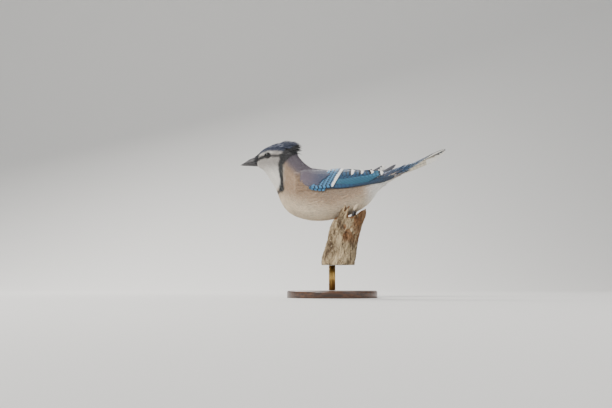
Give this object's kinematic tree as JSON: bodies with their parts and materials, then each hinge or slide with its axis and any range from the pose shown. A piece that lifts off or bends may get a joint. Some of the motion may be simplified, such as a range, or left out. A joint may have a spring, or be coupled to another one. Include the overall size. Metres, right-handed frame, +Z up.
{
  "type": "blue jay on a perch, museum model",
  "caption": "Life-size still model of a blue jay standing on a broken branch end, held by a rod on a round base.",
  "frame": {"origin": "centre of the underside of the stand's base", "axes": "the bird faces -X, its left side faces -Y, +Z is up"},
  "size_m": [0.2831, 0.124, 0.2162],
  "materials": {
    "head_feathers": "soft, slate blue crown with a pale face and a black collar",
    "mantle_feathers": "soft, greyish lavender",
    "body_feathers": "soft, pale greyish buff below and lavender grey above",
    "blue_feathers": "smooth vanes, bright blue with black bars and white tips",
    "horn": "satin blackish horn",
    "eye": "wet gloss, very dark brown",
    "leg_scales": "small plates, blackish grey",
    "bark": "weathered bark and torn wood",
    "stand_metal": "satin",
    "stand_wood": "dark, satin varnish"
  },
  "bodies": {
    "root": {"head": "head_feathers", "neck": "mantle_feathers", "torso": "body_feathers", "bill_upper": "horn", "bill_lower": "horn", "eye_left": "eye", "eye_right": "eye", "wing_left": "blue_feathers", "wing_right": "blue_feathers", "tail": "blue_feathers", "leg_left": "leg_scales", "leg_right": "leg_scales", "foot_left": "leg_scales", "foot_right": "leg_scales", "perch": "bark", "stand_rod": "stand_metal", "stand_base": "stand_wood"}
  },
  "joints": []
}
